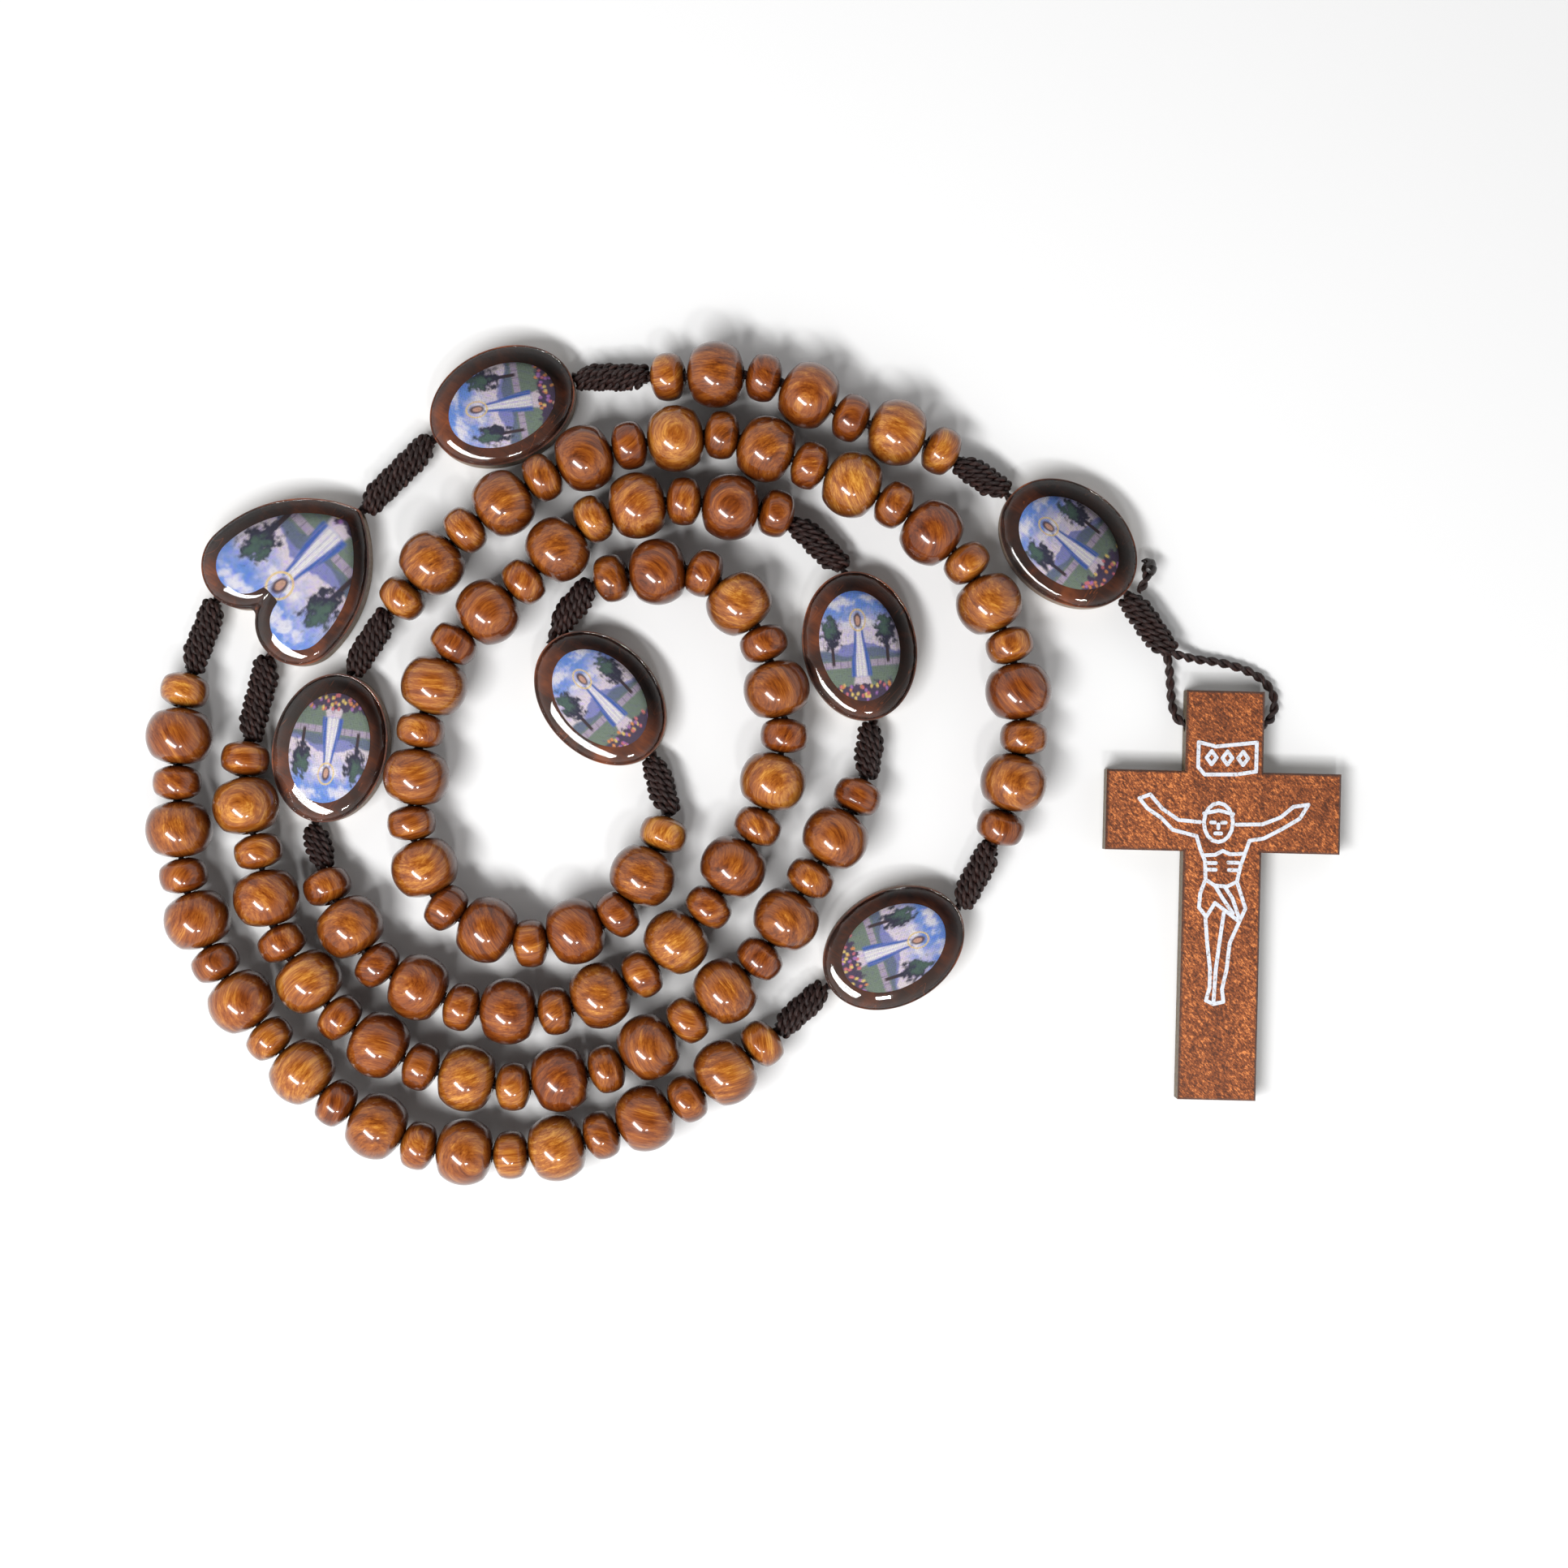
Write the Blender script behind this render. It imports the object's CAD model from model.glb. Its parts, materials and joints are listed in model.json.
import json
import math
import random

import bpy
import numpy as np
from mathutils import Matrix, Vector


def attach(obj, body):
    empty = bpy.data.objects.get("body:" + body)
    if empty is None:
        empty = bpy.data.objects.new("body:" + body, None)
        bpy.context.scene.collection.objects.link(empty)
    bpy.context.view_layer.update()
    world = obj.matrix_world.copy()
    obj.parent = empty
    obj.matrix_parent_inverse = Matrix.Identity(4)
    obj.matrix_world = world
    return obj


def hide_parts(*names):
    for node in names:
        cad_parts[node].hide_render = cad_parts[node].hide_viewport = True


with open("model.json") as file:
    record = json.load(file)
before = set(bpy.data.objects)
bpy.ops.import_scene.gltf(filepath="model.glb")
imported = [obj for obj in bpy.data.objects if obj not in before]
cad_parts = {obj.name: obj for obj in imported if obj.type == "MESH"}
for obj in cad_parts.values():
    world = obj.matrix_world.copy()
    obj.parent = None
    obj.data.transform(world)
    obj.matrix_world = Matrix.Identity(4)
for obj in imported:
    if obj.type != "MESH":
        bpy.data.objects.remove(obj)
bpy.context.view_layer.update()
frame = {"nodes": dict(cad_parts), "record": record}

# A five-decade wooden rosary on a pale table. Sizes here are in millimetres, and Shape.object
# turns them into metres. The table is z = 0.

MM = 0.001
rng = random.Random(7)
BODIES = frame["record"]["behaviour"]["bodies"]

# Cord
PLY_OFFSET = 0.265          # from the cord's middle to the middle of each ply
PLY_RADIUS = 0.31
PLY_TURN = 3.0              # length of one full turn of the two plies
STEP = 0.13                 # between the points of a cord's line
RUN_SHARE = 0.45            # part of each straight run that a bend takes up
BEND_POINTS = 14
# heights of the cord above the table
HOLE_Z = 1.7
KNOT_Z = 1.95
END_BEAD_Z = 3.1
BEAD_Z = 4.0

# Beads
LARGE = (8.0, 6.9)          # diameter and length
SMALL = (5.8, 4.35)
BORE = 0.95                 # radius of the hole at its mouth
MOUTH_DROP = 0.12           # how far the wall of the hole starts below the end face
SOFT_EDGE = 0.16            # left out on each side of the edge between end face and ball
END_DOME = 0.75             # radius of the end faces, in diameters of the bead
AROUND = 44

# Knots
WRAP_PITCH = 0.88
WRAP_RADIUS = 1.26
WRAP_SLANT = -0.62
WRAP_END_RADIUS = 0.62      # the winding narrows to this at both ends
WRAP_STEP = 0.16
TAPER_TURNS = 1.5           # turns over which it narrows
STEPS_A_TURN = 52
KNOT_MARGIN = 0.4           # from a knot's end to the middle of its last turn
KNOT_LONGER = 0.3           # how much longer the wound knot is than the plain one
KNOT_PLY_SCALE = 0.84
KNOT_PLY_SWELL = 1.06
CORE_RADIUS = 0.75
CORE_SHORTER = 0.3          # at each end

# Medals
MEDAL_LENGTH = 18.1
MEDAL_WIDTH = 13.7
MEDAL_TOP = 3.4
DOME_INSET = 0.15
DOME_HEIGHT = 1.1
DOME_EDGE = 3.6             # how far in from the rim the resin keeps rising
EDGE_RISE = 0.95            # part of the resin's height that it has at DOME_EDGE
RIM_SHARE = 0.3             # part of that which it gains right at its rim
PICTURE_HALF = (6.7, 4.8)
PICTURE_Z = 3.5
HEART_TIP = (0.0, -9.0)
HEART_MIDDLE = (0.0, 1.5)
LOBE_AT = (4.7, 5.7)
LOBE_R = 5.2
HEART_BORDER = 1.8
HEART_EXITS = [(4.4, 10.85), (-4.8, 10.85)]
HEART_AT = (-52.9, 24.3)
HEART_TURN = 133.6
# centre, turn of the long axis, and the direction in which the picture's top points
OVALS = {
    "oval_1": (18.0, -22.3, 31.0, 18.0),
    "oval_2": (-50.0, 1.8, 77.0, -98.0),
    "oval_3": (-17.4, 7.8, -47.0, 133.0),
    "oval_4": (13.9, 14.1, 101.0, 95.0),
    "upper_oval": (-29.2, 43.1, 24.0, 190.0),
    "lower_oval": (39.1, 26.5, -39.0, 141.0),
}

# Cross
CROSS_AT = (57.8, -5.9)
CROSS_TURN = -1.36
CROSS_TOP = 14.6
CROSS_FOOT = 34.8
CROSS_SPAN = 28.3
CROSS_UPRIGHT = 9.4
CROSS_ARM = 9.7
CROSS_Z = 3.2

# Routes of the cords, from one medal to the next
DECADES = {
    "decade_1": [
        (-65.6, 15.6), (-67.7, 8.8), (-67.9, 2.9), (-68.3, -2.6), (-67.9, -8.1), (-67.6, -13.9),
        (-65.7, -18.9), (-63.8, -24.1), (-60.6, -28.4), (-57.5, -32.9), (-53.5, -36.6),
        (-49.5, -41.0), (-44.6, -43.4), (-39.8, -46.3), (-34.2, -46.7), (-28.6, -47.4),
        (-23.1, -46.6), (-17.5, -45.0), (-12.3, -42.9), (-6.9, -40.7), (-2.4, -37.3),
        (2.2, -33.9), (6.9, -29.6),
    ],
    "decade_2": [
        (28.1, -13.9), (31.1, -7.8), (32.2, -2.2), (34.1, 3.0), (32.8, 8.6), (32.2, 14.4),
        (29.3, 18.8), (27.3, 24.1), (22.8, 27.4), (18.5, 31.1), (13.2, 33.3), (8.1, 35.8),
        (2.8, 37.6), (-2.5, 39.9), (-8.3, 39.0), (-13.8, 38.3), (-19.2, 36.9), (-24.3, 34.5),
        (-28.9, 31.2), (-33.6, 28.3), (-37.5, 24.1), (-41.2, 19.8), (-45.6, 15.2),
    ],
    "decade_3": [
        (-51.6, -9.9), (-50.7, -15.0), (-47.2, -19.6), (-44.4, -25.0), (-38.9, -26.9),
        (-33.6, -30.0), (-28.0, -29.8), (-22.1, -30.2), (-17.0, -27.8), (-11.5, -25.4),
        (-7.9, -20.9), (-3.7, -17.1), (-1.2, -11.8), (2.2, -7.2), (3.4, -1.7), (5.4, 3.7),
        (3.7, 9.0), (2.5, 14.8), (-0.8, 19.7), (-4.9, 23.7), (-10.5, 22.9), (-16.4, 22.6),
        (-22.2, 19.5),
    ],
    "decade_4": [
        (-9.3, -2.2), (-9.2, -8.6), (-12.4, -13.7), (-14.9, -19.1), (-20.9, -20.1),
        (-26.1, -22.5), (-31.4, -19.7), (-36.6, -17.7), (-38.7, -12.1), (-40.6, -6.8),
        (-39.1, -1.4), (-39.2, 4.2), (-37.3, 9.4), (-35.3, 14.7), (-30.9, 18.0), (-26.3, 21.9),
        (-22.3, 25.7), (-18.6, 29.6), (-12.9, 31.1), (-7.2, 31.7), (-1.8, 30.5), (4.1, 30.5),
        (9.6, 27.2),
    ],
    "decade_5": [
        (15.3, 1.6), (13.9, -4.1), (11.0, -9.1), (7.9, -13.9), (5.1, -18.9), (2.0, -23.8),
        (-2.5, -27.6), (-6.9, -31.0), (-11.7, -34.3), (-16.3, -37.1), (-22.0, -37.7),
        (-27.5, -39.4), (-32.8, -37.9), (-38.6, -36.9), (-43.6, -34.2), (-48.6, -31.0),
        (-52.2, -26.6), (-55.7, -22.0), (-57.8, -16.4), (-58.1, -10.9), (-60.3, -5.7),
        (-60.4, 0.5), (-59.0, 7.6),
    ],
}
PENDANT_ROW = [
    (-16.4, 46.6), (-9.2, 46.5), (-3.4, 46.8), (2.4, 46.6), (8.2, 44.2), (12.7, 41.2),
    (18.4, 39.9), (23.8, 37.7), (28.9, 34.9),
]
KNOT_1_AT = (-42.2, 35.4)

# The loop that carries the cross: through the knot, down one side of the top of the cross,
# through its hole, and back up the other side to the knot
LEFT_LEG = [
    (48.6, 17.4, 1.9), (51.4, 12.8, 1.6), (51.7, 9.8, 0.8), (51.9, 7.2, 0.8), (52.3, 5.5, 1.2),
    (53.5, 4.61, 1.6),
]
RIGHT_LEG = [
    (62.6, 4.39, 1.6), (63.8, 5.1, 1.2), (64.5, 6.7, 0.8), (64.3, 8.4, 0.8), (63.0, 10.2, 0.8),
    (60.8, 11.4, 0.8), (57.6, 12.3, 0.8), (54.6, 12.6, 1.1), (52.3, 13.1, 2.2),
]
LOOP_END = (51.2, 13.6, 2.1)

# The cord's short free end and the blob that it was melted to
TAIL = [(47.6, 20.7, 3.0), (48.6, 22.1, 2.7), (48.7, 23.0, 2.2)]
BLOB = [
    (48.6, 22.9, 2.3), (49.0, 23.5, 2.0), (49.1, 24.1, 1.8), (48.7, 24.5, 1.7), (48.1, 24.5, 1.7),
]
BLOB_PARTS = (0, 0.12, 0.35, 0.6, 0.8, 1)
BLOB_RADII = (0.45, 0.85, 0.95, 0.7, 0.34, 0.1)

# Studio, in metres
WORLD_STRENGTH = 0.92
CEILING = 0.05              # the studio is dark overhead, where the camera is
KEY_AT = (-0.22, -0.24, 0.46)
KEY_SIZE = (0.38, 0.1)
KEY_POWER = 3.4
SIDE_AT = (0.07, -0.36, 0.46)
SIDE_SIZE = (0.07, 0.05)
SIDE_POWER = 0.55
FLOOR_SIZE = 4
FLOOR_GREY = 0.8
CAMERA_AT = (0.00478, -0.00254, 0.300)
CAMERA_LENS = 56.5


def unit(v):
    return v / np.linalg.norm(v)


def turned(point, at, degrees):
    """A point of a turned and moved frame, on the table."""
    t = math.radians(degrees)
    x, y = point
    return (
        at[0] + x * math.cos(t) - y * math.sin(t),
        at[1] + x * math.sin(t) + y * math.cos(t),
    )


def oval_end(name, side):
    x, y, turn, _ = OVALS[name]
    return turned((side * MEDAL_LENGTH / 2, 0), (x, y), turn)


def heart_point(local):
    return turned(local, HEART_AT, HEART_TURN)


def row_route(start, places, end):
    heights = [KNOT_Z, END_BEAD_Z] + [BEAD_Z] * (len(places) - 4) + [END_BEAD_Z, KNOT_Z]
    inner = [(x, y, z) for (x, y), z in zip(places, heights)]
    return [(*start, HOLE_Z)] + inner + [(*end, HOLE_Z)]


def even(points, step):
    """The same line with its points a step apart."""
    points = np.array(points, float)
    runs = np.linalg.norm(np.diff(points, axis=0), axis=1)
    along = np.concatenate([[0], np.cumsum(runs)])
    wanted = np.linspace(0, along[-1], max(3, int(along[-1] / step) + 1))
    return np.stack([np.interp(wanted, along, points[:, i]) for i in range(3)], axis=1)


def smooth_path(route, step=STEP):
    """A route of straight runs with a round bend at each point."""
    pts = [np.array(p, float) for p in route]
    line = [pts[0]]
    for before, here, after in zip(pts, pts[1:], pts[2:]):
        share = RUN_SHARE * min(np.linalg.norm(here - before), np.linalg.norm(after - here))
        a = here - share * unit(here - before)
        b = here + share * unit(after - here)
        for t in np.linspace(0, 1, BEND_POINTS):
            line.append((1 - t) ** 2 * a + 2 * t * (1 - t) * here + t**2 * b)
    line.append(pts[-1])
    return even(line, step)


def frames_along(points):
    """Tangents and two cross directions that don't spin along a line."""
    tangents = np.gradient(points, axis=0)
    tangents /= np.linalg.norm(tangents, axis=1)[:, None]
    normal = np.cross(tangents[0], (0, 0, 1.0))
    if np.linalg.norm(normal) < 0.1:
        normal = np.cross(tangents[0], (0, 1.0, 0))
    normals = []
    for t in tangents:
        normal = unit(normal - t * np.dot(normal, t))
        normals.append(normal)
    normals = np.array(normals)
    return tangents, normals, np.cross(tangents, normals)


class Shape:
    """Collects the vertices, faces and per-vertex facts of one mesh."""

    def __init__(self):
        self.verts = []
        self.faces = []
        self.facts = {}
        self.count = 0

    def add(self, verts, faces, **facts):
        verts = np.asarray(verts, float)
        self.verts.append(verts)
        self.faces += [tuple(int(i) + self.count for i in face) for face in faces]
        for key, values in facts.items():
            self.facts.setdefault(key, []).append(np.broadcast_to(values, (len(verts), 3)))
        self.count += len(verts)

    def object(self, name, material):
        mesh = bpy.data.meshes.new(name)
        mesh.from_pydata((np.concatenate(self.verts) * MM).tolist(), [], self.faces)
        for key, parts in self.facts.items():
            layer = mesh.attributes.new(key, "FLOAT_VECTOR", "POINT")
            layer.data.foreach_set("vector", np.concatenate(parts).astype(np.float32).ravel())
        mesh.shade_smooth()
        mesh.materials.append(material)
        made = bpy.data.objects.new(name, mesh)
        bpy.context.scene.collection.objects.link(made)
        return made


def grid_faces(rows, columns, closed=True):
    """Faces between rows of vertices, joined round when closed."""
    faces = []
    last = columns if closed else columns - 1
    for i in range(rows - 1):
        for j in range(last):
            k = (j + 1) % columns
            a, b = i * columns, (i + 1) * columns
            faces.append((a + j, a + k, b + k, b + j))
    return faces


def tube(shape, points, normals, binormals, radius, sides=8):
    """A tube with closed ends round a line; its fact is how far along and round each place is."""
    radius = np.broadcast_to(radius, (len(points),))
    angles = np.arange(sides) * 2 * np.pi / sides
    ring = np.cos(angles)[None, :, None] * normals[:, None, :]
    ring = ring + np.sin(angles)[None, :, None] * binormals[:, None, :]
    verts = points[:, None, :] + ring * radius[:, None, None]
    runs = np.concatenate([[0], np.cumsum(np.linalg.norm(np.diff(points, axis=0), axis=1))])
    fibre = np.zeros((len(points), sides, 3))
    fibre[..., 0] = runs[:, None]
    fibre[..., 1] = np.cos(angles)[None, :]
    fibre[..., 2] = np.sin(angles)[None, :]
    fibre += rng.uniform(0, 50)
    count = len(points)
    faces = grid_faces(count, sides)
    faces.append(tuple(range(sides)))
    faces.append(tuple((count - 1) * sides + j for j in reversed(range(sides))))
    shape.add(verts.reshape(-1, 3), faces, fibre=fibre.reshape(-1, 3))


def plies(shape, points, scale=1.0, swell=1.0):
    """Two plies of cord twisted round a line."""
    _, normals, binormals = frames_along(points)
    runs = np.concatenate([[0], np.cumsum(np.linalg.norm(np.diff(points, axis=0), axis=1))])
    begin = rng.uniform(0, 6.28)
    for half in (0, np.pi):
        turn = begin + half + runs * 2 * np.pi / (PLY_TURN * scale)
        out = np.cos(turn)[:, None] * normals + np.sin(turn)[:, None] * binormals
        across = -np.sin(turn)[:, None] * normals + np.cos(turn)[:, None] * binormals
        wobble = 1 + 0.05 * np.sin(runs * 2.1 + half) + 0.03 * np.sin(runs * 5.7)
        radius = PLY_RADIUS * scale * swell * wobble
        tube(shape, points + out * PLY_OFFSET * scale, out, across, radius)


def islands(node):
    """The vertices of each separate solid of a CAD node, in millimetres."""
    mesh = frame["nodes"][node].data
    co = np.zeros(len(mesh.vertices) * 3, np.float32)
    mesh.vertices.foreach_get("co", co)
    co = co.reshape(-1, 3).astype(float) / MM
    _, same = np.unique(np.round(co, 3), axis=0, return_inverse=True)
    same = same.ravel()
    parent = list(range(same.max() + 1))

    def root(i):
        while parent[i] != i:
            parent[i] = parent[parent[i]]
            i = parent[i]
        return i

    for edge in mesh.edges:
        a, b = root(same[edge.vertices[0]]), root(same[edge.vertices[1]])
        if a != b:
            parent[a] = b
    groups = {}
    for i, s in enumerate(same):
        groups.setdefault(root(s), []).append(i)
    return [co[indices] for indices in groups.values()]


def turned_solid(points):
    """(middle, direction of the hole) of a turned solid, from its vertices."""
    corners = np.unique(np.round(points, 3), axis=0)
    middle = (corners.min(0) + corners.max(0)) / 2
    for _ in range(3):
        spread = corners - middle
        values, vectors = np.linalg.eigh(spread.T @ spread)
        gaps = [abs(values[1] - values[2]), abs(values[0] - values[1])]
        axis = vectors[:, 0] if gaps[0] < gaps[1] else vectors[:, 2]
        along = (corners - middle) @ axis
        middle = middle + axis * (along.min() + along.max()) / 2
        across = (corners - middle) - np.outer((corners - middle) @ axis, axis)
        middle = middle + across.mean(0)
    return middle, axis


def cross_directions(axis):
    """Two directions square to an axis, the first one level."""
    side = unit(np.cross(axis, (0, 0, 1.0)))
    return side, np.cross(side, axis)


def bead_profile(diameter, length):
    """(radius, height) down the outside of a bead, from the rim of one end of its hole."""
    ball, dome = diameter / 2, END_DOME * diameter
    sunk = dome - length / 2
    shoulder = (dome**2 - sunk**2 - ball**2) / (2 * sunk)
    shoulder_r = math.sqrt(ball**2 - shoulder**2)
    mouth = math.sqrt(dome**2 - BORE**2) - sunk - MOUTH_DROP
    inside = [(BORE, 0.0), (BORE, mouth)]
    radii = np.linspace(BORE + 0.1, shoulder_r - SOFT_EDGE, 6)
    face = [(r, math.sqrt(dome**2 - r**2) - sunk) for r in radii]
    start = math.asin(shoulder / ball) - SOFT_EDGE / ball
    side = [(ball * math.cos(a), ball * math.sin(a)) for a in np.linspace(start, 0, 9)]
    half = inside + face + side
    return half + [(r, -z) for r, z in reversed(half[:-1])]


def bead(shape, middle, axis, size):
    """One turned bead. Its facts are its own coordinates for the grain, and its tint."""
    profile = bead_profile(*size)
    side, up = cross_directions(axis)
    angles = np.arange(AROUND) * 2 * np.pi / AROUND
    ring = np.cos(angles)[:, None] * side + np.sin(angles)[:, None] * up
    verts = np.concatenate([middle + axis * z + ring * r for r, z in profile])
    spin = np.linalg.qr(np.array([[rng.gauss(0, 1) for _ in range(3)] for _ in range(3)]))[0]
    offset = np.array([rng.uniform(-40, 40) for _ in range(3)])
    local = (verts - middle) @ spin.T + offset
    height = np.clip((verts[:, 2] - middle[2]) / (size[0] / 2), -1, 1)
    tint = np.zeros((len(verts), 3))
    tint[:, 0] = rng.uniform(0, 1)
    tint[:, 1] = rng.uniform(0, 1)
    tint[:, 2] = height * 0.5 + 0.5
    shape.add(verts, grid_faces(len(profile), AROUND), grain=local, tint=tint)


def beads(node, size, material):
    """Turned beads in the places of a CAD node's beads."""
    shape = Shape()
    for points in islands(node):
        middle, axis = turned_solid(points)
        bead(shape, middle, axis, size)
    return stand_for(shape.object(f"{node}_turned", material), node)


def stand_for(made, node):
    """Puts a piece in the place of a CAD node, on the node's body."""
    body = next(name for name, nodes in BODIES.items() if node in nodes)
    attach(made, body)
    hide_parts(node)
    return made


def knot(shape, middle, axis, length):
    """A knot of cord wound round itself in slanted turns, narrower at its ends."""
    side, up = cross_directions(axis)
    turns = (length - 0.7) / WRAP_PITCH
    t = np.linspace(0, turns * 2 * np.pi, int(turns * STEPS_A_TURN))
    part = t / t[-1]
    taper = np.clip(np.minimum(part, 1 - part) * turns / TAPER_TURNS, 0, 1)
    radius = WRAP_END_RADIUS + (WRAP_RADIUS - WRAP_END_RADIUS) * np.sin(taper * np.pi / 2)
    radius = radius * (1 + 0.05 * np.sin(t * 0.37 + rng.uniform(0, 6)))
    height = (part - 0.5) * (length - 0.9) + WRAP_SLANT * radius * np.cos(t)
    limit = length / 2 - KNOT_MARGIN
    height = np.clip(height, -limit, limit)
    ring = np.cos(t)[:, None] * side + np.sin(t)[:, None] * up
    line = middle + axis * height[:, None] + ring * radius[:, None]
    plies(shape, even(line, WRAP_STEP), KNOT_PLY_SCALE, KNOT_PLY_SWELL)
    reach = axis * (length / 2 - CORE_SHORTER)
    core = np.array([middle - reach, middle + reach])
    tube(shape, core, np.array([side, side]), np.array([up, up]), CORE_RADIUS, 12)


def knots(node, material):
    """Wound knots in the places of a CAD node's knots."""
    shape = Shape()
    for points in islands(node):
        middle, axis = turned_solid(points)
        along = (points - middle) @ axis
        knot(shape, middle, axis, along.max() - along.min() + KNOT_LONGER)
    return stand_for(shape.object(f"{node}_wound", material), node)


def loose_cord(node, route, material):
    """A limp free cord along its route, declared with its real length."""
    line = smooth_path(route)
    shape = Shape()
    plies(shape, line)
    made = stand_for(shape.object(f"{node}_twisted", material), node)
    return made


def held_cord(node, routes, material):
    """Cord that is held in a medal or is too short to be loose."""
    shape = Shape()
    for route in routes:
        plies(shape, smooth_path(route))
    stand_for(shape.object(f"{node}_twisted", material), node)


# The medals' outlines and resin


def oval_outline(half_length, half_width, count=200):
    t = np.arange(count) * 2 * np.pi / count
    return np.stack([half_length * np.cos(t), half_width * np.sin(t)], axis=1)


def heart_outline(inset, count=260):
    """The heart: side arcs that run smoothly into round lobes, drawn inwards by an inset."""
    lobe_x, lobe_y = LOBE_AT
    rise = lobe_y - HEART_TIP[1]
    more = (lobe_x**2 + rise**2 - LOBE_R**2) / (2 * (lobe_x + LOBE_R))
    side_r = more + LOBE_R
    side_x = lobe_x - more
    tip_angle = math.asin(rise / side_r)
    inner_side = side_r - inset
    inner_lobe = LOBE_R - inset
    start = -math.acos(min(1, -side_x / inner_side))
    end = math.pi - math.acos(min(1, lobe_x / inner_lobe))
    side = [
        (side_x + inner_side * math.cos(a), lobe_y + inner_side * math.sin(a))
        for a in np.linspace(max(start, -tip_angle), 0, 60)
    ]
    lobe = [
        (lobe_x + inner_lobe * math.cos(a), lobe_y + inner_lobe * math.sin(a))
        for a in np.linspace(0, end, 80)[1:]
    ]
    half = side + lobe
    both = half + [(-x, y) for x, y in reversed(half)]
    ring = np.array(both + [both[0]])
    line = even(np.column_stack([ring, np.zeros(len(ring))]), 0.02)
    every = np.linspace(0, len(line) - 1, count + 1).astype(int)[:-1]
    outline = line[every][:, :2]
    for _ in range(5):
        outline = (np.roll(outline, 1, 0) + 2 * outline + np.roll(outline, -1, 0)) / 4
    return outline


def resin_rise(part):
    """The rise of the resin, from 0 to 1, at a part of the way in from its rim."""
    at_rim = 1 - (1 - part) ** 14
    further_in = math.sin(part * math.pi / 2)
    return RIM_SHARE * at_rim + (1 - RIM_SHARE) * further_in


def dome(node, outline, at, turn, material):
    """Poured resin: steep at its rim, then gently domed."""
    centre = np.array(HEART_MIDDLE) if node.startswith("heart") else np.zeros(2)
    arms = outline - centre
    reach = np.linalg.norm(arms, axis=1)
    rows = []

    def row(shares, rise):
        flat = centre + arms * shares[:, None]
        height = MEDAL_TOP + DOME_HEIGHT * rise
        rows.append(np.column_stack([flat, np.full(len(flat), height)]))

    for inwards in np.concatenate([[0, 0.02], np.linspace(0.05, 1, 12) ** 1.8 * DOME_EDGE]):
        row(1 - inwards / reach, EDGE_RISE * resin_rise(min(inwards / DOME_EDGE, 1)))
    last = 1 - DOME_EDGE / reach
    for k in np.linspace(0, 1, 9)[1:]:
        row(last * (1 - k) + 0.002 * k, EDGE_RISE + (1 - EDGE_RISE) * (1 - (1 - k) ** 2))
    verts = np.concatenate(rows)
    x, y = turned((verts[:, 0], verts[:, 1]), at, turn)
    placed = np.column_stack([x, y, verts[:, 2]])
    count = len(outline)
    faces = grid_faces(len(rows), count)
    faces.append(tuple((len(rows) - 1) * count + j for j in range(count)))
    shape = Shape()
    shape.add(placed, faces)
    stand_for(shape.object(f"{node}_poured", material), node)


# The printed pictures: a cloaked figure on a path between two trees, painted place by place


def soft(value, low, high):
    t = np.clip((value - low) / (high - low), 0, 1)
    return t * t * (3 - 2 * t)


def waves(u, v, scale, seed):
    """Smooth clouds of value between -1 and 1."""
    local = random.Random(seed)
    total = np.zeros_like(u)
    for octave in range(4):
        size = scale * 1.9**octave
        for _ in range(3):
            angle = local.uniform(0, 6.28)
            phase = local.uniform(0, 6.28)
            bend = 0.9 * np.sin(size * 0.6 * (u * math.sin(angle) - v * math.cos(angle)) + phase)
            wave = np.sin(size * (u * math.cos(angle) + v * math.sin(angle)) + bend + phase)
            total += wave / (3 * 1.6**octave)
    return np.clip(total, -1, 1)


def srgb(r, g, b):
    """A colour given in the usual 0 to 255 steps, in linear light."""
    parts = np.array([r, g, b], float) / 255
    return np.where(parts <= 0.04045, parts / 12.92, ((parts + 0.055) / 1.055) ** 2.4)


class Canvas:
    """The linear colours of a picture: u runs across it and v up it, both from -1 to 1."""

    def __init__(self, u, v, seed):
        self.u = u
        self.v = v
        self.rough = waves(u, v, 9, seed)
        self.fine = waves(u, v, 26, seed + 1)
        self.dabs = waves(u, v, 60, seed + 2)
        self.colour = np.tile(srgb(104, 148, 222), (len(u), 1))

    def lay(self, mask, tone):
        """Covers the places of a mask with a tone."""
        mask = np.clip(mask, 0, 1)[:, None]
        self.colour = self.colour * (1 - mask) + tone * mask

    def blob(self, at, size, tone, edge=0.35, jag=0.12, strength=1.0):
        """An oval spot with an uneven edge."""
        across = (self.u - at[0]) / size[0]
        up = (self.v - at[1]) / size[1]
        far = np.sqrt(across**2 + up**2) + jag * self.fine
        self.lay(strength * (1 - soft(far, 1 - edge, 1 + edge * 0.3)), tone)


def paint_sky(canvas):
    """A sky with clouds, paler towards two rows of hills."""
    u, v = canvas.u, canvas.v
    canvas.lay(soft(0.85 - v + 0.2 * canvas.rough, 0, 0.8), srgb(230, 220, 228))
    clouds = (((-0.45, 0.8), (0.42, 0.14)), ((0.5, 0.86), (0.4, 0.12)), ((0.0, 0.42), (0.6, 0.1)))
    for at, size in clouds:
        canvas.blob(at, size, srgb(246, 242, 248), 0.8, 0.35, 0.8)
    far_hills = 0.12 * np.cos(3 * u) + 0.04 * canvas.rough
    near_hills = 0.07 * np.sin(5 * u) - 0.08
    canvas.lay(soft(far_hills - v, 0, 0.05), srgb(136, 142, 196))
    canvas.lay(soft(near_hills - v, 0, 0.05), srgb(104, 118, 140))


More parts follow.
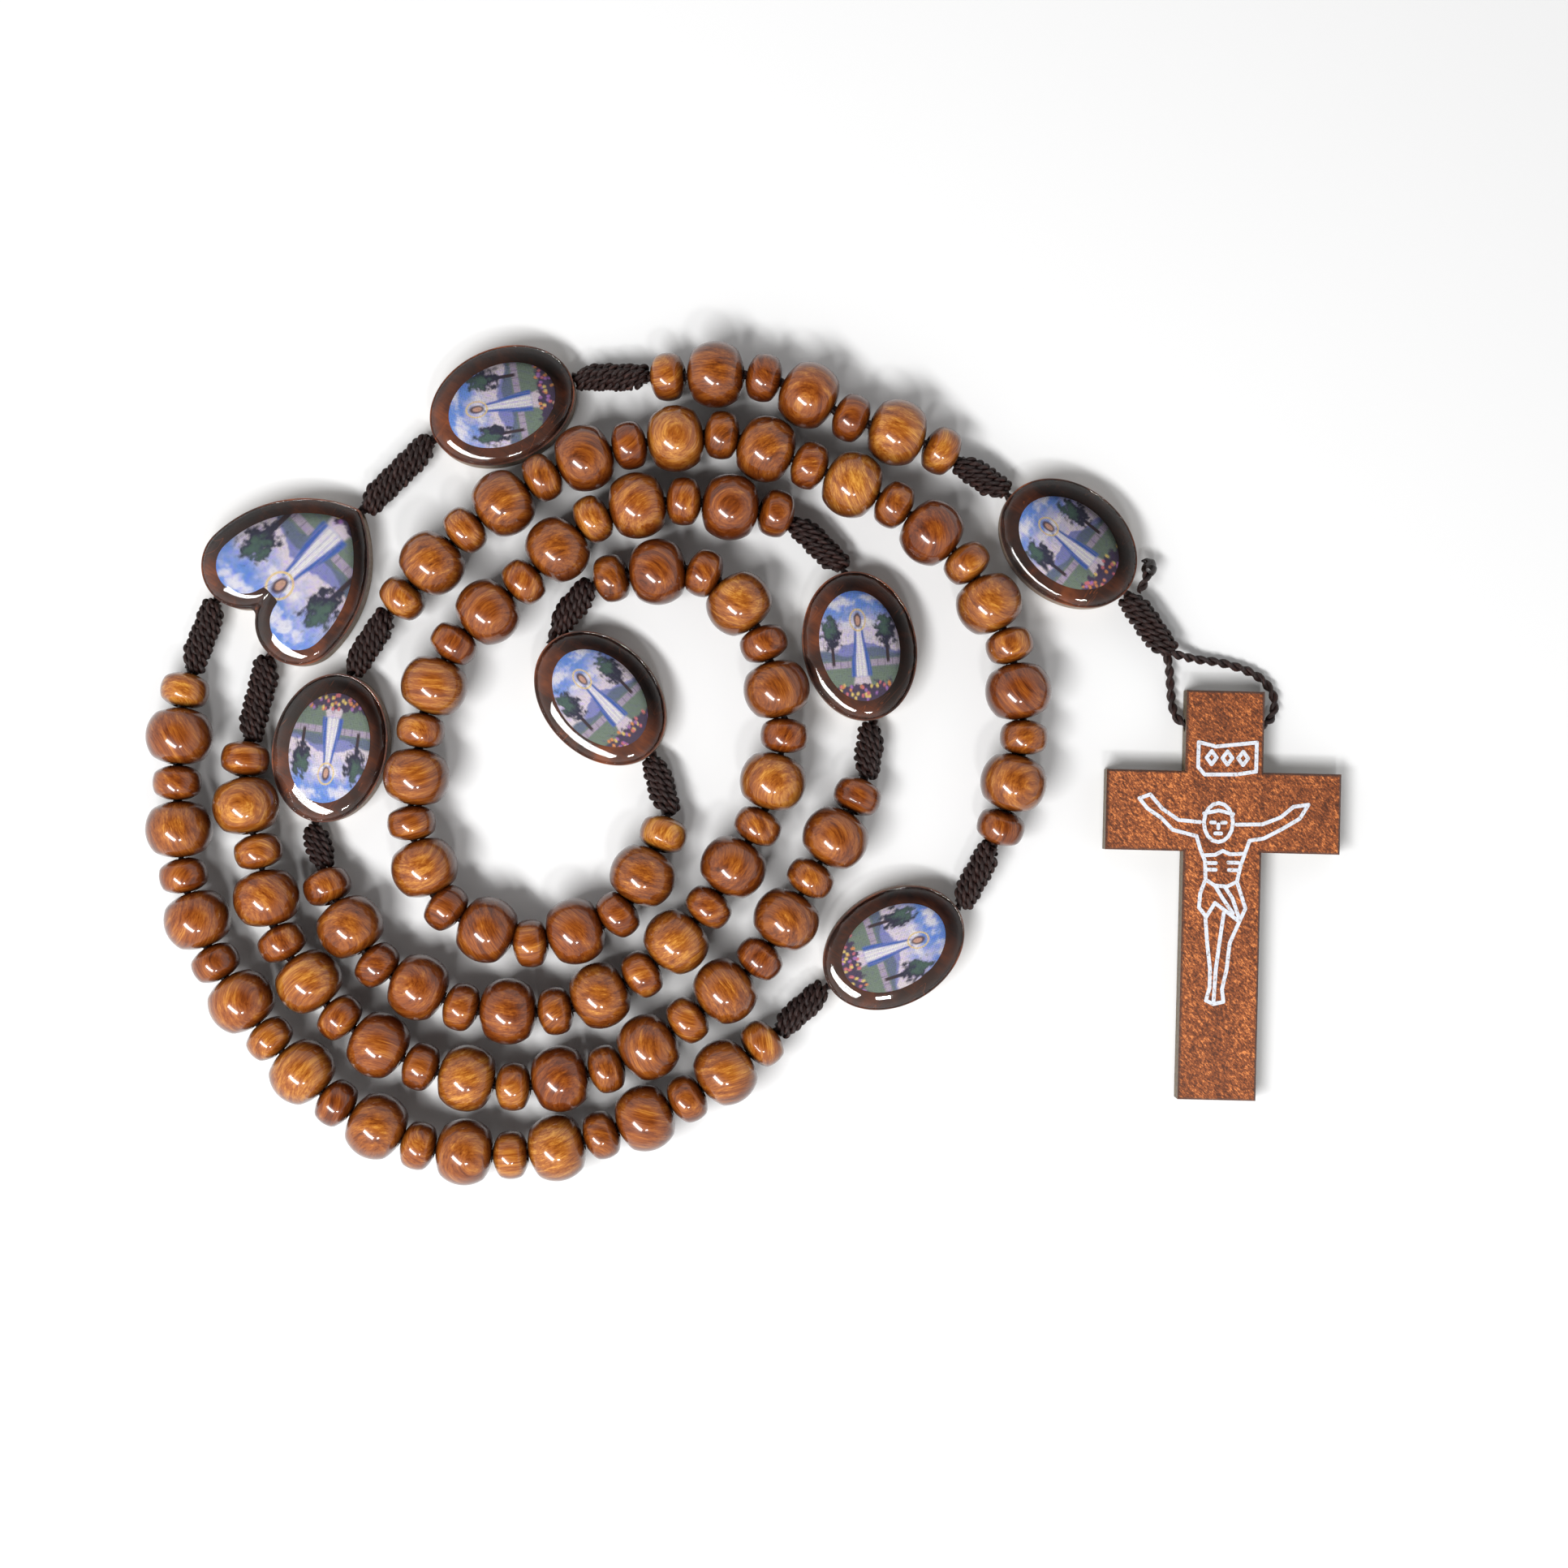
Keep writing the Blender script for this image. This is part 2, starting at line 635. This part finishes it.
def paint_lawn(canvas):
    """A lawn with a path up its middle, and a low stone wall on each side of the path."""
    u, v = canvas.u, canvas.v
    canvas.lay(soft(0.03 * canvas.fine - 0.2 - v, 0, 0.06), srgb(118, 136, 122))
    half_path = 0.1 - 0.3 * (v + 0.2)
    path = soft(half_path - np.abs(u), 0, 0.06) * soft(-v, 0.2, 0.28)
    canvas.lay(path, srgb(222, 210, 222))
    wall = soft(0.07 - np.abs(v + 0.32), 0, 0.02) * soft(np.abs(u), 0.22, 0.26)
    canvas.lay(wall, srgb(178, 166, 186))
    joints = soft(np.sin(34 * u), 0.85, 0.95)
    canvas.lay(0.5 * wall * joints, srgb(92, 82, 104))


def paint_trees(canvas):
    """A round tree on each side."""
    u, v = canvas.u, canvas.v
    for x in (-0.68, 0.68):
        trunk = soft(0.05 - np.abs(u - x), 0, 0.02)
        trunk = trunk * soft(0.2 - v, 0, 0.05) * soft(v, -0.36, -0.3)
        canvas.lay(trunk, srgb(60, 44, 50))
        canvas.blob((x, 0.26), (0.27, 0.34), srgb(46, 46, 70), 0.35, 0.35)
        canvas.blob((x - 0.04, 0.34), (0.17, 0.2), srgb(82, 114, 98), 0.7, 0.5, 0.75)


def paint_figure(canvas):
    """A cloaked figure standing on the path, with a plain ring behind its head."""
    u, v = canvas.u, canvas.v
    width = 0.11 + 0.15 * soft(0.35 - v, 0, 0.9)
    figure = soft(width - np.abs(u), -0.02, 0.03)
    figure = figure * soft(v, -0.58, -0.52) * soft(0.38 - v, 0, 0.08)
    robe = figure * soft(0.55 * width - np.abs(u), -0.02, 0.03)
    folds = figure * soft(np.sin(70 * u), 0.2, 0.9)
    ring = soft(0.025 - np.abs(np.hypot(u, v - 0.47) - 0.19), 0, 0.015)
    canvas.lay(figure, srgb(66, 104, 184))
    canvas.lay(robe, srgb(242, 240, 244))
    canvas.lay(0.35 * folds, srgb(150, 146, 192))
    canvas.lay(0.85 * ring, srgb(240, 212, 132))
    canvas.blob((0, 0.47), (0.11, 0.15), srgb(86, 70, 80), 0.35, 0.05)
    canvas.blob((0, 0.46), (0.065, 0.095), srgb(206, 162, 138), 0.35, 0.05)


def paint_flowers(canvas, seed):
    """A bed of flowers along the front."""
    local = random.Random(seed)
    canvas.lay(soft(0.06 * canvas.fine - 0.66 - canvas.v, 0, 0.06), srgb(76, 64, 90))
    tones = [srgb(214, 120, 130), srgb(226, 150, 90), srgb(170, 120, 190), srgb(230, 204, 120)]
    for _ in range(48):
        at = (local.uniform(-0.9, 0.9), local.uniform(-0.98, -0.68))
        canvas.blob(at, (0.042, 0.042), tones[local.randrange(4)], 0.5, 0.2)


def paint(u, v, seed):
    """The whole scene, with violet dabs of the brush over it."""
    canvas = Canvas(u, v, seed)
    paint_sky(canvas)
    paint_lawn(canvas)
    paint_trees(canvas)
    paint_figure(canvas)
    paint_flowers(canvas, seed + 5)
    violet = np.clip(0.4 * canvas.dabs + 0.3 * canvas.fine, 0, 0.5)[:, None]
    tinted = canvas.colour * srgb(150, 128, 196) * 1.6
    colour = canvas.colour * (1 - violet) + tinted * violet
    brush = 1.2 + 0.16 * canvas.dabs + 0.08 * canvas.fine
    return np.clip(colour * brush[:, None], 0, 1)


def picture(node, outline, at, turn, up, material, seed):
    """A printed picture: its facts are its painted colour and its own coordinates."""
    rings = np.linspace(1, 0.004, 64)
    centre = outline.mean(0)
    flat = np.concatenate([centre + (outline - centre) * k for k in rings])
    x, y = turned((flat[:, 0], flat[:, 1]), at, turn)
    verts = np.column_stack([x, y, np.full(len(x), PICTURE_Z)])
    t = math.radians(up - 90)
    dx, dy = x - at[0], y - at[1]
    across = dx * math.cos(t) + dy * math.sin(t)
    rise = -dx * math.sin(t) + dy * math.cos(t)
    half_w, half_h = np.abs(across).max(), np.abs(rise).max()
    colours = paint(across / half_w, rise / half_h, seed)
    shape = Shape()
    faces = grid_faces(len(rings), len(outline))
    facts = np.column_stack([across, rise, np.zeros(len(across))])
    shape.add(verts, faces, painted=colours, canvas=facts)
    stand_for(shape.object(f"{node}_printed", material), node)


# Materials


class Nodes:
    """A small helper that builds one material's nodes."""

    def __init__(self, name):
        self.material = bpy.data.materials.new(name)
        self.material.use_nodes = True
        self.tree = self.material.node_tree
        self.shader = self.tree.nodes["Principled BSDF"]

    def new(self, kind, **settings):
        node = self.tree.nodes.new(kind)
        for key, value in settings.items():
            setattr(node, key, value)
        return node

    def join(self, source, target):
        self.tree.links.new(source, target)

    def fact(self, name):
        return self.new("ShaderNodeAttribute", attribute_name=name).outputs["Vector"]

    def place(self):
        """Places on the object, in millimetres."""
        return self.scaled(self.new("ShaderNodeTexCoord").outputs["Object"], (1000, 1000, 1000))

    def scaled(self, vector, scale, turn=0.0, shift=(0, 0, 0)):
        node = self.new("ShaderNodeMapping")
        node.inputs["Scale"].default_value = scale
        node.inputs["Rotation"].default_value = (0, 0, turn)
        node.inputs["Location"].default_value = shift
        self.join(vector, node.inputs["Vector"])
        return node.outputs["Vector"]

    def turned(self, vector, turn):
        node = self.new("ShaderNodeVectorRotate", rotation_type="Z_AXIS")
        node.inputs["Angle"].default_value = turn
        self.join(vector, node.inputs["Vector"])
        return node.outputs["Vector"]

    def noise(self, vector, scale, detail=3.0, rough=0.55, distortion=0.0):
        node = self.new("ShaderNodeTexNoise")
        node.inputs["Scale"].default_value = scale
        node.inputs["Detail"].default_value = detail
        node.inputs["Roughness"].default_value = rough
        node.inputs["Distortion"].default_value = distortion
        self.join(vector, node.inputs["Vector"])
        return node.outputs["Fac"]

    def wave(self, vector, scale, distortion, direction="X"):
        node = self.new("ShaderNodeTexWave", bands_direction=direction)
        node.inputs["Scale"].default_value = scale
        node.inputs["Distortion"].default_value = distortion
        node.inputs["Detail"].default_value = 2.0
        self.join(vector, node.inputs["Vector"])
        return node.outputs["Fac"]

    def math(self, operation, a, b=0.0):
        node = self.new("ShaderNodeMath", operation=operation)
        for socket, value in zip(node.inputs, (a, b)):
            if isinstance(value, (int, float)):
                socket.default_value = value
            else:
                self.join(value, socket)
        return node.outputs[0]

    def split(self, vector):
        node = self.new("ShaderNodeSeparateXYZ")
        self.join(vector, node.inputs[0])
        return node.outputs

    def ramp(self, value, stops):
        """Colours along a value: stops are (place, linear colour)."""
        node = self.new("ShaderNodeValToRGB")
        elements = node.color_ramp.elements
        while len(elements) < len(stops):
            elements.new(0.5)
        for element, (at, colour) in zip(elements, stops):
            element.position = at
            element.color = (*colour, 1)
        self.join(value, node.inputs["Fac"])
        return node.outputs["Color"]

    def level(self, value, low, high, out_low=0.0, out_high=1.0):
        node = self.new("ShaderNodeMapRange", interpolation_type="SMOOTHSTEP")
        for socket, number in zip(list(node.inputs)[1:5], (low, high, out_low, out_high)):
            socket.default_value = number
        self.join(value, node.inputs["Value"])
        return node.outputs["Result"]

    def mix(self, factor, a, b, blend="MIX"):
        node = self.new("ShaderNodeMix", data_type="RGBA", blend_type=blend)
        for socket, value in zip((node.inputs[0], node.inputs[6], node.inputs[7]), (factor, a, b)):
            if isinstance(value, np.ndarray):
                socket.default_value = (*value, 1)
            else:
                self.join(value, socket)
        return node.outputs[2]

    def bump(self, height, strength, distance):
        node = self.new("ShaderNodeBump")
        node.inputs["Strength"].default_value = strength
        node.inputs["Distance"].default_value = distance * MM
        self.join(height, node.inputs["Height"])
        self.join(node.outputs["Normal"], self.shader.inputs["Normal"])

    def colour(self, socket):
        self.join(socket, self.shader.inputs["Base Color"])

    def rough(self, socket):
        self.join(socket, self.shader.inputs["Roughness"])


def bead_wood():
    """Amber-brown turned wood with dark streaks, under glossy lacquer."""
    n = Nodes("bead_wood")
    grain = n.fact("grain")
    streak = n.noise(n.scaled(grain, (0.1, 1.5, 0.4)), 1.0, 5.0, 0.6, 0.4)
    fine = n.noise(n.scaled(grain, (0.5, 7.5, 2.0)), 1.0, 4.0, 0.7, 0.2)
    pores = n.noise(n.scaled(grain, (0.9, 16, 9)), 1.0, 2.0, 0.5)
    tint = n.split(n.fact("tint"))
    value = n.math("ADD", n.math("MULTIPLY", streak, 0.6), n.math("MULTIPLY", fine, 0.42))
    value = n.math("ADD", value, n.math("MULTIPLY", n.math("SUBTRACT", tint[0], 0.5), 0.13))
    wood = n.ramp(
        value,
        [
            (0.32, srgb(80, 35, 7)),
            (0.44, srgb(126, 62, 14)),
            (0.55, srgb(163, 92, 27)),
            (0.68, srgb(214, 150, 63)),
        ],
    )
    wood = n.mix(n.level(pores, 0.6, 0.75, 0.0, 0.5), wood, srgb(72, 32, 11))
    wood = n.mix(n.level(tint[1], 0.0, 1.0, 0.0, 0.35), wood, srgb(181, 100, 40), "MULTIPLY")
    side = n.level(tint[2], 0.58, 1.0, 0.92, 0.0)
    n.colour(n.mix(side, wood, srgb(60, 20, 3)))
    n.rough(n.level(fine, 0.3, 0.7, 0.26, 0.36))
    n.shader.inputs["Specular IOR Level"].default_value = 0.25
    n.shader.inputs["Coat Weight"].default_value = 0.75
    n.shader.inputs["Coat Roughness"].default_value = 0.06
    n.bump(fine, 0.12, 0.05)
    return n.material


def medal_wood():
    """Dark stained wood: soft blotches and fine grain on its face, raw on its cut side."""
    n = Nodes("medal_wood")
    place = n.place()
    blotch = n.noise(place, 0.16, 3.0, 0.6, 0.4)
    grain = n.noise(n.scaled(n.turned(place, 0.6), (0.5, 5.0, 1.5)), 1.0, 5.0, 0.65, 0.3)
    crack = n.noise(n.scaled(n.turned(place, -0.9), (0.1, 0.6, 0.5)), 1.0, 2.0, 0.5, 1.0)
    value = n.math("ADD", n.math("MULTIPLY", blotch, 0.8), n.math("MULTIPLY", grain, 0.25))
    face = n.ramp(
        value,
        [
            (0.38, srgb(34, 15, 8)),
            (0.5, srgb(62, 28, 13)),
            (0.6, srgb(98, 46, 20)),
            (0.72, srgb(142, 72, 30)),
        ],
    )
    from_crack = n.math("ABSOLUTE", n.math("SUBTRACT", crack, 0.62))
    line = n.math("SUBTRACT", 1.0, n.level(from_crack, 0, 0.006))
    face = n.mix(n.math("MULTIPLY", line, 0.5), face, srgb(190, 96, 40))
    raw = n.ramp(
        n.noise(n.scaled(place, (2, 2, 5)), 1.0, 4.0, 0.7),
        [(0.3, srgb(84, 66, 54)), (0.5, srgb(132, 112, 94)), (0.7, srgb(172, 152, 130))],
    )
    height = n.split(place)[2]
    n.colour(n.mix(n.level(height, 3.0, 3.25), raw, face))
    n.rough(n.level(grain, 0.3, 0.7, 0.5, 0.68))
    n.bump(grain, 0.25, 0.06)
    return n.material


def clear_resin():
    """Clear poured resin: shows what is under it and mirrors the lights at its rim."""
    n = Nodes("clear_resin")
    place = n.place()
    clear = n.new("ShaderNodeBsdfTransparent")
    clear.inputs["Color"].default_value = (0.96, 0.95, 0.92, 1)
    gloss = n.new("ShaderNodeBsdfGlossy")
    gloss.inputs["Color"].default_value = (1, 1, 1, 1)
    n.join(n.level(n.noise(place, 0.5, 2.0), 0.35, 0.65, 0.03, 0.07), gloss.inputs["Roughness"])
    bump = n.new("ShaderNodeBump")
    bump.inputs["Strength"].default_value = 0.05
    bump.inputs["Distance"].default_value = 0.2 * MM
    n.join(n.noise(place, 0.35, 2.0), bump.inputs["Height"])
    n.join(bump.outputs["Normal"], gloss.inputs["Normal"])
    fresnel = n.new("ShaderNodeFresnel")
    fresnel.inputs["IOR"].default_value = 1.5
    blend = n.new("ShaderNodeMixShader")
    n.join(fresnel.outputs[0], blend.inputs[0])
    n.join(clear.outputs[0], blend.inputs[1])
    n.join(gloss.outputs[0], blend.inputs[2])
    n.join(blend.outputs[0], n.tree.nodes["Material Output"].inputs["Surface"])
    n.tree.nodes.remove(n.shader)
    return n.material


def picture_print():
    """Printed canvas: the painted colours with a fine weave and dots of ink."""
    n = Nodes("picture_print")
    canvas = n.fact("canvas")
    across = n.wave(canvas, 1.5, 0.6, "X")
    up = n.wave(canvas, 1.5, 0.6, "Y")
    weave = n.math("MULTIPLY", n.math("ADD", across, up), 0.5)
    ink = n.noise(canvas, 5.5, 3.0, 0.7)
    painted = n.fact("painted")
    dull = n.mix(n.level(weave, 0.2, 0.8, 0.22, 0.0), painted, srgb(70, 60, 76), "MULTIPLY")
    speckled = n.mix(n.level(ink, 0.5, 0.72, 0.0, 0.4), dull, srgb(96, 84, 100), "MULTIPLY")
    n.colour(speckled)
    n.rough(n.level(ink, 0.3, 0.7, 0.55, 0.7))
    n.bump(weave, 0.3, 0.04)
    return n.material


def inside_cross(n, place):
    """How far inside the cross's outline a place is, and its height."""
    turn = math.radians(CROSS_TURN)
    shift = (
        -CROSS_AT[0] * math.cos(turn) - CROSS_AT[1] * math.sin(turn),
        CROSS_AT[0] * math.sin(turn) - CROSS_AT[1] * math.cos(turn),
        0,
    )
    x, y, height = n.split(n.scaled(place, (1, 1, 1), -turn, shift))
    from_middle = n.math("ABSOLUTE", x)
    middle_y = (CROSS_TOP - CROSS_FOOT) / 2
    half_height = (CROSS_TOP + CROSS_FOOT) / 2
    from_centre = n.math("ABSOLUTE", n.math("SUBTRACT", y, middle_y))
    upright = n.math(
        "MINIMUM",
        n.math("SUBTRACT", CROSS_UPRIGHT / 2, from_middle),
        n.math("SUBTRACT", half_height, from_centre),
    )
    arm = n.math(
        "MINIMUM",
        n.math("SUBTRACT", CROSS_ARM / 2, n.math("ABSOLUTE", y)),
        n.math("SUBTRACT", CROSS_SPAN / 2, from_middle),
    )
    return n.math("MAXIMUM", upright, arm), height


def cross_wood():
    """Copper-brown wood with short slanting flecks and a thin burnt edge."""
    n = Nodes("cross_wood")
    place = n.place()
    flecks = n.noise(n.scaled(n.turned(place, 0.8), (1.5, 3.4, 2.0)), 1.0, 4.0, 0.75, 0.2)
    specks = n.noise(n.scaled(n.turned(place, 0.8), (3.2, 6.5, 3.0)), 1.0, 2.0, 0.6)
    broad = n.noise(n.scaled(place, (0.25, 0.05, 0.2)), 1.0, 3.0)
    value = n.math("ADD", n.math("MULTIPLY", flecks, 0.5), n.math("MULTIPLY", specks, 0.4))
    value = n.math("ADD", value, n.math("MULTIPLY", broad, 0.14))
    wood = n.ramp(
        value,
        [
            (0.43, srgb(73, 34, 13)),
            (0.5, srgb(116, 58, 24)),
            (0.56, srgb(152, 80, 35)),
            (0.63, srgb(223, 136, 71)),
        ],
    )
    inside, height = inside_cross(n, place)
    burnt = n.level(inside, 0.1, 0.42, 0.8, 0.0)
    wood = n.mix(burnt, wood, srgb(54, 26, 13))
    raw = n.ramp(
        n.noise(n.scaled(place, (2, 2, 6)), 1.0, 3.0),
        [(0.35, srgb(64, 50, 35)), (0.65, srgb(116, 100, 74))],
    )
    n.colour(n.mix(n.level(height, 2.7, 2.95), raw, wood))
    n.rough(n.level(flecks, 0.3, 0.7, 0.48, 0.6))
    n.bump(flecks, 0.3, 0.05)
    return n.material


def white_print():
    """Pale print, slightly worn through to the wood."""
    n = Nodes("white_print")
    place = n.place()
    worn = n.noise(place, 3.2, 3.0, 0.7)
    n.colour(
        n.ramp(
            worn,
            [(0.34, srgb(150, 132, 122)), (0.42, srgb(200, 204, 212)), (0.7, srgb(222, 227, 236))],
        )
    )
    n.rough(n.level(worn, 0.3, 0.7, 0.45, 0.6))
    n.bump(worn, 0.4, 0.04)
    return n.material


def cord_fibre():
    """Dark brown waxed fibres that run along each ply."""
    n = Nodes("cord")
    fibre = n.fact("fibre")
    hairs = n.noise(n.scaled(fibre, (1.1, 5.5, 5.5)), 1.0, 4.0, 0.7)
    wear = n.noise(n.scaled(fibre, (0.3, 0.8, 0.8)), 1.0, 2.0)
    value = n.math("ADD", n.math("MULTIPLY", hairs, 0.7), n.math("MULTIPLY", wear, 0.3))
    n.colour(
        n.ramp(
            value,
            [(0.35, srgb(14, 6, 5)), (0.53, srgb(38, 18, 15)), (0.7, srgb(96, 56, 46))],
        )
    )
    n.rough(n.level(hairs, 0.3, 0.7, 0.26, 0.5))
    n.shader.inputs["Specular IOR Level"].default_value = 0.4
    n.bump(hairs, 0.9, 0.1)
    return n.material


def melted_end():
    """The black glossy bead of melted fibre at the cord's free end."""
    n = Nodes("melted_end")
    lumps = n.noise(n.place(), 1.6, 3.0)
    n.colour(n.ramp(lumps, [(0.35, srgb(12, 9, 9)), (0.65, srgb(34, 24, 22))]))
    n.rough(n.level(lumps, 0.3, 0.7, 0.16, 0.35))
    n.bump(lumps, 0.4, 0.2)
    return n.material


def table_top():
    """Plain pale floor."""
    n = Nodes("table_top")
    n.shader.inputs["Base Color"].default_value = (FLOOR_GREY, FLOOR_GREY, FLOOR_GREY, 1)
    n.shader.inputs["Roughness"].default_value = 0.9
    return n.material


# The pieces


def melted_tail(material, end_material):
    """The short free end beside the last knot, melted to a blob with a hooked tip."""
    held_cord("cord_tail", [TAIL], material)
    shape = Shape()
    line = even(BLOB, 0.06)
    _, normals, binormals = frames_along(line)
    radius = np.interp(np.linspace(0, 1, len(line)), BLOB_PARTS, BLOB_RADII)
    tube(shape, line, normals, binormals, radius, 20)
    tip = shape.object("cord_tail_melted", end_material)
    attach(tip, "cross_cord")


def keep(node, material):
    """Gives a CAD node its material."""
    mesh = frame["nodes"][node].data
    mesh.materials.clear()
    mesh.materials.append(material)


def build_medals(wood, resin, print_material):
    """The six ovals and the heart."""
    rim = oval_outline(MEDAL_LENGTH / 2 - DOME_INSET, MEDAL_WIDTH / 2 - DOME_INSET)
    inner = oval_outline(*PICTURE_HALF)
    for seed, (name, (x, y, turn, up)) in enumerate(OVALS.items(), start=10):
        keep(f"{name}_wood", wood)
        dome(f"{name}_resin", rim, (x, y), turn, resin)
        picture(f"{name}_picture", inner, (x, y), turn, up, print_material, seed)
    up = HEART_TURN + 90
    keep("heart_wood", wood)
    dome("heart_resin", heart_outline(DOME_INSET), HEART_AT, HEART_TURN, resin)
    inner = heart_outline(HEART_BORDER)
    picture("heart_picture", inner, HEART_AT, HEART_TURN, up, print_material, 31)


def build_decades(wood, cord_material):
    """The five decades: beads, knots and the cord through them."""
    ends = {
        "decade_1": (heart_point(HEART_EXITS[0]), oval_end("oval_1", -1)),
        "decade_2": (oval_end("oval_1", 1), oval_end("oval_2", 1)),
        "decade_3": (oval_end("oval_2", -1), oval_end("oval_3", -1)),
        "decade_4": (oval_end("oval_3", 1), oval_end("oval_4", 1)),
        "decade_5": (oval_end("oval_4", -1), heart_point(HEART_EXITS[1])),
    }
    for name, places in DECADES.items():
        riders = [
            beads(f"{name}_small_beads", SMALL, wood),
            beads(f"{name}_large_beads", LARGE, wood),
            knots(f"{name}_knots", cord_material),
        ]
        start, end = ends[name]
        loose_cord(f"{name}_cord", row_route(start, places, end), cord_material)


def build_medal_cords(material):
    """The cord inside the four ovals of the loop and inside the heart."""
    rods = []
    for name in ("oval_1", "oval_2", "oval_3", "oval_4"):
        near, far = oval_end(name, -1), oval_end(name, 1)
        rods.append([(*near, HOLE_Z), (*far, HOLE_Z)])
    tip = heart_point(HEART_TIP)
    for local in HEART_EXITS:
        rods.append([(*tip, HOLE_Z), (*heart_point(local), HOLE_Z)])
    held_cord("medal_cords", rods, material)


def build_pendant(wood, cord_material):
    """The cord from the heart through the upper oval and the seven beads to the lower oval."""
    tip = heart_point(HEART_TIP)
    near, far = oval_end("upper_oval", -1), oval_end("upper_oval", 1)
    first = [(*tip, HOLE_Z), (*KNOT_1_AT, KNOT_Z), (*near, HOLE_Z)]
    held_cord("upper_medal_cord", [first, [(*near, HOLE_Z), (*far, HOLE_Z)]], cord_material)
    knots("pendant_knot", cord_material)
    end = oval_end("lower_oval", -1)
    riders = [knots("pendant_row_knots", cord_material)]
    for i in range(7):
        riders.append(beads(f"pendant_bead_{i + 1}", LARGE if i % 2 else SMALL, wood))
    loose_cord("pendant_bead_cord", row_route(far, PENDANT_ROW, end), cord_material)
    last = [(*end, HOLE_Z), (*oval_end("lower_oval", 1), HOLE_Z)]
    held_cord("lower_medal_cord", [last], cord_material)


def build_cross(wood, print_material, cord_material):
    """The cross, the loop of cord that carries it and the cord's free end."""
    keep("cross_wood", wood)
    keep("cross_print", print_material)
    route = [(*oval_end("lower_oval", 1), HOLE_Z)] + LEFT_LEG + RIGHT_LEG + [LOOP_END]
    riders = [knots("cross_knot", cord_material)]
    loose_cord("cross_loop_cord", route, cord_material)
    melted_tail(cord_material, melted_end())


def area_light(name, at, size, power):
    """A rectangular light that looks at the middle of the rosary."""
    data = bpy.data.lights.new(name, "AREA")
    data.shape = "RECTANGLE"
    data.size, data.size_y = size
    data.energy = power
    light = bpy.data.objects.new(name, data)
    bpy.context.scene.collection.objects.link(light)
    light.location = at
    light.rotation_mode = "QUATERNION"
    light.rotation_quaternion = (-Vector(at)).to_track_quat("-Z", "Y")


def build_world():
    """A pale studio all round that is dark overhead."""
    world = bpy.data.worlds.new("studio")
    world.use_nodes = True
    tree = world.node_tree
    background = tree.nodes["Background"]
    background.inputs["Strength"].default_value = WORLD_STRENGTH
    direction = tree.nodes.new("ShaderNodeTexCoord")
    split = tree.nodes.new("ShaderNodeSeparateXYZ")
    ceiling = tree.nodes.new("ShaderNodeValToRGB")
    tree.links.new(direction.outputs["Generated"], split.inputs[0])
    tree.links.new(split.outputs[2], ceiling.inputs["Fac"])
    tree.links.new(ceiling.outputs["Color"], background.inputs["Color"])
    low, high = ceiling.color_ramp.elements
    low.position, low.color = 0.55, (1, 1, 1, 1)
    high.position, high.color = 0.86, (CEILING, CEILING, CEILING, 1)
    bpy.context.scene.world = world


def build_floor():
    bpy.ops.mesh.primitive_plane_add(size=FLOOR_SIZE, location=(0, 0, 0))
    floor = bpy.context.object
    floor.name = "floor"
    floor.data.materials.append(table_top())


def build_camera():
    """A camera that looks straight down."""
    data = bpy.data.cameras.new("camera")
    data.sensor_width = 36
    data.lens = CAMERA_LENS
    data.clip_start = 0.01
    camera = bpy.data.objects.new("camera", data)
    camera.location = CAMERA_AT
    scene = bpy.context.scene
    scene.collection.objects.link(camera)
    scene.camera = camera
    scene.view_settings.view_transform = "Standard"


build_world()
area_light("key", KEY_AT, KEY_SIZE, KEY_POWER)
area_light("side", SIDE_AT, SIDE_SIZE, SIDE_POWER)
build_floor()
build_camera()

twisted_cord = cord_fibre()
turned_wood = bead_wood()
build_medals(medal_wood(), clear_resin(), picture_print())
build_decades(turned_wood, twisted_cord)
build_medal_cords(twisted_cord)
build_pendant(turned_wood, twisted_cord)
build_cross(cross_wood(), white_print(), twisted_cord)
